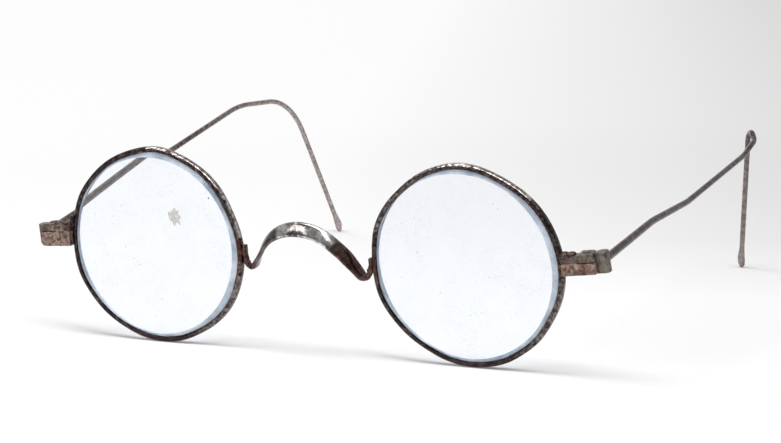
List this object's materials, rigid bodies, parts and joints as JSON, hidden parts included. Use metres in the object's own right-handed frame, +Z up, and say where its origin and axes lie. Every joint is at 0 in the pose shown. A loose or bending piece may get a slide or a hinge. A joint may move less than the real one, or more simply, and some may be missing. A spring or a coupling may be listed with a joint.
{
  "type": "round wire-rim spectacles",
  "caption": "Old round wire-rim spectacles with split joints, a flattened saddle bridge and folding temples of bent wire that hook over the ears.",
  "frame": {"origin": "middle of the bounding box on the plane that the spectacles stand on, under the rims and the temple tips", "axes": "+X to the wearer's left, +Y from the lenses towards the temple tips, +Z up"},
  "size_m": [0.1184, 0.1178, 0.0374],
  "materials": {
    "rim_steel": "dark, worn and lightly rusted steel",
    "bridge_steel": "brown steel, polished bright where the nose has rubbed it",
    "joint_steel": "pitted steel with brown rust stains",
    "screw_steel": "dark brown steel",
    "temple_steel": "smooth grey-brown steel wire",
    "lens_glass": "clear polished glass with a little dust"
  },
  "bodies": {
    "front": {"right_rim": "rim_steel", "left_rim": "rim_steel", "right_lens": "lens_glass", "left_lens": "lens_glass", "bridge": "bridge_steel", "right_joint_upper": "joint_steel", "left_joint_upper": "joint_steel", "right_joint_lower": "joint_steel", "left_joint_lower": "joint_steel", "closing_screws": "screw_steel", "hinge_pins": "screw_steel"},
    "right_temple": {"right_temple_joint": "joint_steel", "right_temple_wire": "temple_steel"},
    "left_temple": {"left_temple_joint": "joint_steel", "left_temple_wire": "temple_steel"}
  },
  "joints": [
    {"name": "right_temple_fold", "type": "hinge", "parent": "front", "child": "right_temple", "pos_m": [-0.05529, -0.05499, 0.02042], "axis": [0.061, 0.0453, -0.9971], "range_deg": [-1, 84]},
    {"name": "left_temple_fold", "type": "hinge", "parent": "front", "child": "left_temple", "pos_m": [0.05527, -0.05516, 0.02119], "axis": [-0.1132, -0.097, 0.9888], "range_deg": [-1, 80]}
  ]
}
